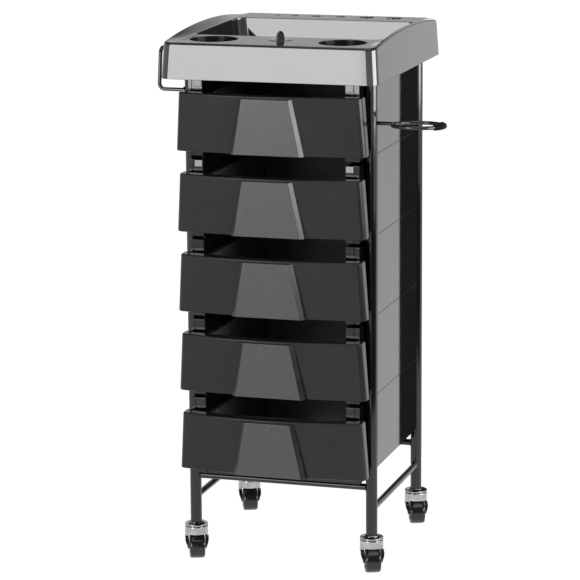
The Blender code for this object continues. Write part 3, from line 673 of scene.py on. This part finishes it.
def cup_cutter(x, y):
    floor_z, above = DECK_Z - CUP_DEPTH, DECK_Z + 0.02
    profile = ((0, floor_z), (CUP_R - 0.0068, floor_z), (CUP_R, DECK_Z - 0.0004))
    profile = rounded_profile(profile, 0.0050, 6)
    profile += [(CUP_R + 0.0010, DECK_Z + 0.0008), (CUP_R + 0.0030, above), (0, above)]
    return moved(turned("cup", profile, 96), x, y)


def hole_cutter(x, r):
    z = SHELF_Z - 0.0004
    profile = (
        (0, z - 0.02), (r, z - 0.02), (r, z - 0.0012), (r + 0.0004, z - 0.0003), (r + 0.0014, z + 0.0006),
        (r + 0.002, z + 0.01), (0, z + 0.01),
    )
    return moved(turned("tool", profile, 48), x, TOOL_Y)


def build_tray():
    tray = tray_shell()
    cutters = [well_cutter(), *bay_cutters()]
    for side, _ in SIDES:
        cutters += side_cutters(side)
    cutters += [cup_cutter(x, y) for x, y in CUPS]
    seat_r, neck_r = LID_R + 0.0003, 0.0167
    cutters.append(cylinder("lid_seat", 0, LID_Y, DECK_Z - 0.0014, DECK_Z + 0.01, seat_r, seat_r))
    cutters.append(cylinder("lid_hole", 0, LID_Y, DECK_Z - 0.0140, DECK_Z + 0.01, neck_r, neck_r))
    cutters += [hole_cutter(x, r) for x, r in TOOL_HOLES]
    combine(tray, cutters, "DIFFERENCE", 32)
    place(tray, "frame", "tray_gloss", "top_tray")
    # painted shade: faces inside the cups, below the deck, take the darker, nearly glossless finish
    tray.data.materials.append(MATERIALS["cup_painted_shade"])
    painted_shade_top = DECK_Z - 0.0012
    for face in tray.data.polygons:
        spot = face.center - SHIFT
        if spot.z < painted_shade_top and any((spot.xy - Vector(cup)).length < CUP_R for cup in CUPS):
            face.material_index = 1


def build_lid():
    """The lift-out disc in the middle of the platform, with a thin upright fin to hold it by."""
    top = deck_at(LID_Y) + 0.0006
    plug_z, seat_z = DECK_Z - 0.0115, DECK_Z - 0.0010
    profile = (
        (0, plug_z), (0.0162, plug_z), (0.0164, seat_z), (LID_R, seat_z), (LID_R, top - 0.0005),
        (LID_R - 0.0002, top - 0.0001), (LID_R - 0.0006, top), (0.0100, top + 0.0002), (0, top + 0.0003),
    )
    lid = moved(turned("centre_lid_disc", profile, 72), 0, LID_Y)
    fin_reach, fin_high, fin_half, fin_steps, fin_turn = 0.0095, 0.0148, 0.0014, 32, math.radians(65)
    rings = []
    for share in (-1.0, -0.85, -0.5, 0.0, 0.5, 0.85, 1.0):
        inset = 0.0007 * (1 - math.sqrt(1 - share * share * 0.98))
        ring = []
        for i in range(fin_steps + 1):
            angle = math.pi * i / fin_steps
            x, z = (fin_reach - inset) * math.cos(angle), (fin_high - inset) * math.sin(angle)
            ring.append((x, fin_half * share, top - 0.001 + z))
        rings.append(ring)
    grip = loft("grip", rings, 50)
    grip.data.transform(Matrix.Translation((0, LID_Y, 0)) @ Matrix.Rotation(fin_turn, 4, "Z"))
    combine(lid, [grip], "UNION", 50)
    place(lid, "lid", "tray_gloss", "centre_lid")


# ---------------------------------------------------------------- drawers

POCKETS = ((-0.1480, -0.0620), (-0.0590, 0.0590), (0.0620, 0.1480))
POCKET_X = 0.1480
RECESS_X = 0.1400


def front_outline(half_width, middle_y, sag, radius, back_y, inset=0.0, steps=28, turns=8):
    """A bowed front in plan: straight back and sides, round corners, and a face that falls back by sag."""
    half_width -= inset
    middle_y += inset
    reach = half_width - radius
    side_y = middle_y + sag + radius
    right = []
    for angle in quarter_turn(turns):
        right.append((reach + radius * math.cos(angle), side_y - radius * math.sin(angle)))
    for i in range(1, steps):
        x = reach * (1 - i / steps)
        right.append((x, middle_y + sag * (x / reach) ** 2))
    left = [(-x, y) for x, y in reversed(right)]
    return [(half_width, back_y), *right, (0.0, middle_y), *left, (-half_width, back_y)]


def pocket_cutter(x_low, x_high, low, top, face_low, back_y, wall=0.0030, steps=16):
    """One of the hollows behind a drawer front, which follow its bow."""
    bow, ease_from, ease_over = 0.0095, 0.1400, 0.0080
    rings = []
    for z, drop in ((low + wall, 0.0), (top - wall, 0.0105)):
        inner = []
        for i in range(steps + 1):
            x = x_low + (x_high - x_low) * i / steps
            ease = 0.0075 * max(0.0, (abs(x) - ease_from) / ease_over) ** 2
            arc = face_low + bow * (x / POCKET_X) ** 2 - drop + drop * (x / POCKET_X) ** 2
            inner.append((x, arc + wall + ease))
        ends = [(inner[-1][0], back_y + 0.01), (inner[0][0], back_y + 0.01)]
        rings.append(at_height(inner + ends, z))
    return loft("pocket", rings)


def recess_cutter(top, face_y, back_y, steps=24):
    """The finger recess behind the top edge of a drawer front."""
    rings = []
    for rise, spread in (
        (-0.0120, 0.0), (-0.0014, 0.0), (-0.0004, 0.0004), (0.0004, 0.0012), (0.01, 0.0012),
    ):
        half = RECESS_X + spread
        line = []
        for i in range(steps + 1):
            x = half * (2 * i / steps - 1)
            line.append((x, face_y + 0.0260 - spread + 0.0150 * (x / RECESS_X) ** 2))
        rings.append(at_height([*line, (half, back_y + 0.01), (-half, back_y + 0.01)], top + rise))
    return loft("finger_recess", rings)


def build_drawer_front(tier):
    node = f"drawer_front_{tier}"
    low_corner, high_corner = local_box(node)
    low, top, back_y, face_y = low_corner.z, high_corner.z, high_corner.y, low_corner.y
    face_top, face_low = face_y + 0.0060, face_y + 0.0180
    crease, sole = 0.0024, 0.0018
    rings = []
    for angle in quarter_turn(3):
        inset = sole * (1 - math.sin(angle))
        outline = front_outline(0.1576, face_low, 0.0095, 0.0100, back_y, inset)
        rings.append(at_height(outline, low + sole * (1 - math.cos(angle))))
    for angle in quarter_turn(5):
        inset = crease * (1 - math.cos(angle))
        outline = front_outline(0.1513, face_top, 0.0170, 0.0090, back_y, inset)
        rings.append(at_height(outline, top - crease * (1 - math.sin(angle))))
    front = loft(f"{node}_shell", rings, 30)
    cutters = [pocket_cutter(*pocket, low, top, face_low, back_y) for pocket in POCKETS]
    cutters.append(recess_cutter(top, face_y, back_y))
    combine(front, cutters, "DIFFERENCE", 30)
    place(front, f"drawer_{tier}", "drawer_front", node)
    build_inlay(tier, low, top, face_y)


def build_inlay(tier, low, top, face_y):
    """The raised trapezoid plate: a smooth rim, then flanks that run back into the front."""
    half_top, half_low, slant, rim_deep = 0.0385, 0.0552, 0.0073, 0.0007
    plate_top, plate_low = top - 0.0040, low + 0.0010
    rings = []
    for out, spread in (
        (0.0000, 0.0006), (0.0002, 0.0002), (rim_deep, 0.0000), (0.0058, -0.0050), (0.0150, -0.0080),
    ):
        on_rim = out <= rim_deep
        x_top = half_top - spread
        x_low = half_low - spread * (1.0 if on_rim else 1.15)
        z_top = plate_top - spread * 0.6 if on_rim else plate_top + (out - rim_deep) * 0.16
        z_low = plate_low + max(spread, 0.0)
        y_top, y_low = face_y + out, face_y + slant + out
        rings.append([
            (-x_low, y_low, z_low), (x_low, y_low, z_low), (x_top, y_top, z_top), (-x_top, y_top, z_top),
        ])
    plate = loft(f"drawer_inlay_{tier}", rings, 12)
    bevel(plate, 0.0007, 3, 20)
    place(plate, f"drawer_{tier}", "drawer_front", material="drawer_inlay")
    plate.data.materials.append(MATERIALS["inlay_edge"])
    side_facing = 0.35
    for face in plate.data.polygons:
        if abs(face.normal.x) > side_facing:
            face.material_index = 1


def build_basket(tier):
    """An open tub with a round foot, hung from two flat flanges."""
    node = f"basket_{tier}"
    low, high = local_box(node)
    rim = (0.1110, low.y, high.y)
    foot = (0.1085, low.y + 0.002, high.y - 0.002)
    wall, foot_r, hollow_r = 0.0022, 0.004, 0.003

    def bowl(floor_z, roundness, inset, corner_r):
        rings = []
        for angle in quarter_turn(4):
            sizes = shrunk(foot, inset + roundness * (1 - math.sin(angle)))
            z = floor_z + roundness * (1 - math.cos(angle))
            rings.append(at_height(rounded_outline(*sizes, corner_r, 8), z))
        return rings

    rings = bowl(low.z, foot_r, 0.0, 0.008)
    rings.append(at_height(rounded_outline(*rim, 0.008, 8), high.z))
    tub = loft(f"{node}_tub", rings, 32)
    flange_low = (rim[0] - 0.004, rim[1] + 0.006, high.z - 0.0025)
    flange_high = (high.x, rim[2] - 0.0005, high.z)
    combine(tub, [mirrored_box("flange", side, flange_low, flange_high) for side, _ in SIDES], "UNION")
    rings = bowl(low.z + wall, hollow_r, wall, 0.006)
    for z in (high.z, high.z + 0.01):
        rings.append(at_height(rounded_outline(*shrunk(rim, wall), 0.006, 8), z))
    combine(tub, [loft("hollow", rings)], "DIFFERENCE", 32)
    bevel(tub, 0.0005, 2, 50)
    place(tub, f"drawer_{tier}", "basket_plastic", node)


# ---------------------------------------------------------------- casters

CAP_R = 0.0195
HOOD_WALL = 0.0010
# rise above the axle, then far side, back and front of a fork leg, whose near side is at FORK_NEAR
FORK_NEAR = 0.0136
FORK_LEG = (
    (-0.0042, 0.0148, 0.0090, 0.0150), (-0.0030, 0.0151, 0.0072, 0.0168), (-0.0012, 0.0158, 0.0055, 0.0184),
    (0.0020, 0.0167, 0.0030, 0.0190), (0.0060, 0.0178, -0.0010, 0.0190), (0.0110, 0.0187, -0.0055, 0.0168),
    (0.0138, 0.0190, -0.0080, 0.0142), (0.0149, 0.0186, -0.0080, 0.0134), (0.0154, 0.0166, -0.0070, 0.0100),
)
# rise above the axle, near and far side, back and front of the bright cheek on a fork leg
CHEEK = (
    (0.0045, 0.0174, 0.0182, 0.0010, 0.0150), (0.0075, 0.0180, 0.0190, -0.0040, 0.0158),
    (0.0115, 0.0187, 0.0196, -0.0070, 0.0142), (0.0162, 0.0186, 0.0196, -0.0075, 0.0080),
)


def side_plate(name, side, sections):
    """An upright plate beside the wheel, through sections of height, near, far, back and front."""
    rings = []
    for z, near, far, back, front in sections:
        ring = ((near, -back), (far, -back), (far, -front), (near, -front))
        rings.append([(side * x, y, z) for x, y in ring])
    return loft(name, rings, 25)


def stem_plate(corner, cap_low):
    """The round plate under the leg, its collar, and the stem that runs up inside the tube."""
    collar_z = LEG_LOW - 0.0003
    profile = (
        (0, cap_low), (CAP_R, cap_low), (CAP_R, cap_low + 0.0031), (CAP_R - 0.0034, cap_low + 0.0027),
        (0.0086, collar_z), (0.0078, collar_z), (0.0078, 0.0920), (0.0, 0.0945),
    )
    return turned(f"caster_stem_{corner}_plate", rounded_profile(profile, 0.0011, 5), 80)


def nut(corner, low, high):
    """A hexagon nut whose corners are cut round."""
    sides, blunt = 48, 1.06
    rings = []
    for z, r in ((low, 0.0118), (high - 0.0005, 0.0118), (high, 0.0110)):
        ring = []
        for i in range(sides):
            angle = 2 * math.pi * i / sides
            flat = math.cos(math.pi / 6) / math.cos((angle % (math.pi / 3)) - math.pi / 6)
            out = r * min(flat * blunt, 1.0)
            ring.append((out * math.cos(angle), out * math.sin(angle), z))
        rings.append(ring)
    return loft(f"caster_nut_{corner}", rings, 20)


def hood_cover(corner, low, top, arch_z):
    """The chrome hood: a short cup, open below, with an arch cut through it for the wheel."""
    inner, foot = CAP_R - HOOD_WALL, low - 0.0002
    profile = (
        (0, top), (CAP_R, top), (CAP_R, foot), (inner, foot), (inner, top - HOOD_WALL), (0, top - HOOD_WALL),
    )
    hood = turned(f"caster_hood_{corner}_cover", rounded_profile(profile, 0.0020, 6), 96)
    arch_x, arch_r, skirt_x, past = 0.0135, 0.0022, 0.0197, 0.03
    ring = [(-past, low - 0.01), (past, low - 0.01), (skirt_x, low + 0.0002)]
    for angle in quarter_turn(4):
        ring.append((arch_x + arch_r * math.cos(angle), arch_z - arch_r + arch_r * math.sin(angle)))
    ring += [(-x, z) for x, z in reversed(ring[2:])]
    rings = [[(x, y_end, z) for x, z in ring] for y_end in (-0.05, 0.05)]
    combine(hood, [loft("arch", rings)], "DIFFERENCE")
    return bevel(hood, 0.0003, 2, 50)


def fork_yoke(corner, wheel_r, arch_z, yoke_top):
    """The black fork: a crown inside the hood and a leg on each side of the wheel."""
    crown_r = CAP_R - HOOD_WALL - 0.0006
    crown = cylinder(f"fork_{corner}_yoke", 0, 0, arch_z + 0.0008, yoke_top, crown_r, crown_r)
    sections = [(wheel_r + rise, FORK_NEAR, *rest) for rise, *rest in FORK_LEG]
    sections.append((yoke_top - 0.0010, FORK_NEAR, 0.0164, -0.0070, 0.0070))
    combine(crown, [side_plate("leg", side, sections) for side, _ in SIDES], "UNION", 25)
    return bevel(crown, 0.0006, 3, 35)


def tyre_profile(wheel_r):
    """A wheel's section, from its bore over the hub and the web to the middle of the tread, and back."""
    half, rim = 0.0125, wheel_r - 0.0002
    profile = [
        (0.0033, -0.0129), (0.0070, -0.0129), (0.0078, -0.0121), (0.0085, -half + 0.0030),
        (0.0125, -half + 0.0030), (0.0134, -half + 0.0009), (0.0165, -half), (rim - 0.0016, -half + 0.0004),
        (rim - 0.0006, -half + 0.0016), (rim - 0.0001, -half + 0.0034), (rim, -half + 0.0060),
        (rim + 0.0001, -half + 0.0100),
    ]
    return profile + [(r, -z) for r, z in reversed(profile)]


def build_caster(corner):
    leg = middle(f"leg_{corner}") - SHIFT
    wheel_mid = middle(f"wheel_{corner}") - SHIFT
    offset = Vector((wheel_mid.x - leg.x, wheel_mid.y - leg.y))
    trail, turn = offset.length, math.atan2(offset.x, -offset.y)
    wheel_r = wheel_mid.z
    cap_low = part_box(f"caster_stem_{corner}")[0].z
    hood_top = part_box(f"caster_hood_{corner}")[1].z
    hood_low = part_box(f"caster_hood_{corner}")[0].z
    arch_z, yoke_top = hood_low + 0.0042, hood_top - 0.0015

    def put(obj, body, slot, *nodes):
        obj.data.transform(Matrix.Translation((leg.x, leg.y, 0)) @ Matrix.Rotation(turn, 4, "Z"))
        place(obj, body, slot, *nodes)

    put(stem_plate(corner, cap_low), "frame", "caster_chrome", f"caster_stem_{corner}")
    put(nut(corner, cap_low + 0.0024, LEG_LOW - 0.0001), "frame", "caster_chrome")

    race_r, race_low, race_high = CAP_R - 0.0026, hood_top - 0.0002, cap_low + 0.0001
    profile = ((0, race_low), (race_r, race_low), (race_r, race_high), (0, race_high))
    race = turned(f"caster_race_{corner}", rounded_profile(profile, 0.0001), 64)
    put(race, f"caster_{corner}", "axle_steel")
    hood = hood_cover(corner, hood_low, hood_top, arch_z)
    put(hood, f"caster_{corner}", "caster_chrome", f"caster_hood_{corner}")
    fork = fork_yoke(corner, wheel_r, arch_z, yoke_top)
    put(fork, f"caster_{corner}", "caster_black", f"fork_{corner}")
    for side, word in SIDES:
        sections = [(wheel_r + rise, *rest) for rise, *rest in CHEEK]
        cheek = side_plate(f"caster_cheek_{corner}_{word}", side, sections)
        put(bevel(cheek, 0.0003, 2, 35), f"caster_{corner}", "caster_chrome")

    lay = Matrix.Translation((0, -trail, wheel_r)) @ Matrix.Rotation(math.pi / 2, 4, "Y")
    pin_r, pin_half = 0.0030, 0.0162
    profile = ((0, -pin_half), (pin_r, -pin_half), (pin_r, pin_half), (0, pin_half))
    pin = turned(f"axle_{corner}_pin", rounded_profile(profile, 0.0006), 40)
    pin.data.transform(lay)
    put(pin, f"caster_{corner}", "axle_steel", f"axle_{corner}")
    wheel = turned(f"wheel_{corner}_tread", tyre_profile(wheel_r), 96)
    wheel.data.transform(lay)
    put(wheel, f"wheel_{corner}", "wheel_rubber", f"wheel_{corner}")


# ---------------------------------------------------------------- camera, floor and light

AZIMUTH, ELEVATION, ROLL = 16.799, 11.944, -0.3674
LENS_MM, SENSOR_MM = 179.925, 36.0
CAMERA_AT = (1.34011, -4.53808, 1.43126)

# name, place, what it faces, width, height and radiance of each soft light
SOFT_BOXES = (
    ("soft_front", (-1.135, -2.72, 1.11), (-0.835, 0, 1.11), 1.24, 1.42, 8.4),
    ("soft_side", (2.15, -0.47, 0.95), (0.17, -0.19, 0.95), 1.70, 1.04, 12.0),
    ("soft_top", (0.3, -0.6, 3.2), (0, 0, 0.5), 2.0, 2.0, 2.0),
)
# name, the two ends in plan, and the lowest and highest point of each upright card
DARK_CARDS = (
    ("flag_corner", (0.30, -1.10), (0.95, -0.72), 0.03, 0.56),
    ("flag_side", (0.95, -0.72), (1.25, 0.20), 0.03, 0.41),
    ("flag_rear", (0.02, 0.60), (0.3136, 0.60), 0.0, 0.742),
)
# height above the horizon, as the sine of its angle, and the sky's grey there
SKY = (
    (0.00, 1.00), (0.07, 0.75), (0.11, 0.48), (0.15, 0.48), (0.20, 0.72), (0.30, 0.75), (0.42, 0.15),
    (1.00, 0.07),
)
SKY_STRENGTH = 1.2


def build_camera():
    azimuth, elevation, roll = (math.radians(degrees) for degrees in (AZIMUTH, ELEVATION, ROLL))
    level = math.cos(elevation)
    back = Vector((math.sin(azimuth) * level, -math.cos(azimuth) * level, math.sin(elevation)))
    right = (-back).cross(Vector((0, 0, 1))).normalized()
    up = right.cross(-back)
    across = right * math.cos(roll) + up * math.sin(roll)
    upward = -right * math.sin(roll) + up * math.cos(roll)
    data = bpy.data.cameras.new("camera")
    data.lens = LENS_MM
    data.sensor_width = SENSOR_MM
    camera = bpy.data.objects.new("camera", data)
    matrix = Matrix((across, upward, back)).transposed().to_4x4()
    matrix.translation = Vector(CAMERA_AT) + SHIFT
    camera.matrix_world = matrix
    bpy.context.scene.collection.objects.link(camera)
    bpy.context.scene.camera = camera


def stage_material(name, scale, dark, light, roughness):
    """A plain matt finish with a slow mottle, for the floor and the cards."""
    made, tree, shader = new_material(name)
    colour = blend_colours(tree, noise(tree, scale), grey(dark), grey(light))
    tree.links.new(colour, shader.inputs["Base Color"])
    shader.inputs["Roughness"].default_value = roughness
    return made, shader


def build_floor():
    bm = bmesh.new()
    bmesh.ops.create_grid(bm, x_segments=1, y_segments=1, size=40)
    floor = link("floor", bm)
    made, shader = stage_material("floor_pale", 2.0, 0.09, 0.12, 0.8)
    shader.inputs["Specular IOR Level"].default_value = 0.1
    shader.inputs["Emission Color"].default_value = (1, 1, 1, 1)
    shader.inputs["Emission Strength"].default_value = 1.0
    floor.data.materials.append(made)


def soft_box(name, position, target, width, height, radiance):
    """A rectangular soft light whose face has the given radiance."""
    data = bpy.data.lights.new(name, "AREA")
    data.shape = "RECTANGLE"
    data.size = width
    data.size_y = height
    data.energy = radiance * math.pi * width * height
    light = bpy.data.objects.new(name, data)
    bpy.context.scene.collection.objects.link(light)
    light.location = Vector(position) + SHIFT
    light.rotation_mode = "QUATERNION"
    light.rotation_quaternion = (Vector(target) + SHIFT - light.location).to_track_quat("-Z", "Y")
    light.visible_camera = False


def dark_card(name, one, two, low, high):
    """A black upright card that is seen only in the gloss of the panels, the legs and the tray."""
    bm = bmesh.new()
    corners = ((*one, low), (*two, low), (*two, high), (*one, high))
    bm.faces.new([bm.verts.new(Vector(corner) + SHIFT) for corner in corners])
    card = bpy.data.objects.new(name, bpy.data.meshes.new(name))
    bm.to_mesh(card.data)
    bm.free()
    bpy.context.scene.collection.objects.link(card)
    card.data.materials.append(stage_material(name, 3.0, 0.003, 0.006, 0.9)[0])
    card.visible_camera = False
    card.visible_shadow = False
    card.visible_diffuse = False


def build_world():
    """Bright at the horizon and falling off towards a dark ceiling."""
    world = bpy.data.worlds.new("studio")
    bpy.context.scene.world = world
    world.use_nodes = True
    tree = world.node_tree
    coords = tree.nodes.new("ShaderNodeTexCoord")
    split = tree.nodes.new("ShaderNodeSeparateXYZ")
    ramp = tree.nodes.new("ShaderNodeValToRGB")
    elements = ramp.color_ramp.elements
    made_already = len(elements)
    for number, (position, level) in enumerate(SKY):
        element = elements[number] if number < made_already else elements.new(position)
        element.position = position
        element.color = (*grey(level), 1)
    tree.links.new(coords.outputs["Generated"], split.inputs["Vector"])
    tree.links.new(split.outputs["Z"], ramp.inputs["Fac"])
    tree.links.new(ramp.outputs["Color"], tree.nodes["Background"].inputs["Color"])
    tree.nodes["Background"].inputs["Strength"].default_value = SKY_STRENGTH


def build_light():
    build_world()
    for soft in SOFT_BOXES:
        soft_box(*soft)
    for card in DARK_CARDS:
        dark_card(*card)
    bpy.context.scene.view_settings.view_transform = "Standard"


build_camera()
build_floor()
build_light()
build_legs()
build_rails()
build_towel_bar()
build_dryer_ring()
build_panels()
build_tray()
build_lid()
for tier in TIERS:
    build_drawer_front(tier)
    build_basket(tier)
for corner in CORNERS:
    build_caster(corner)
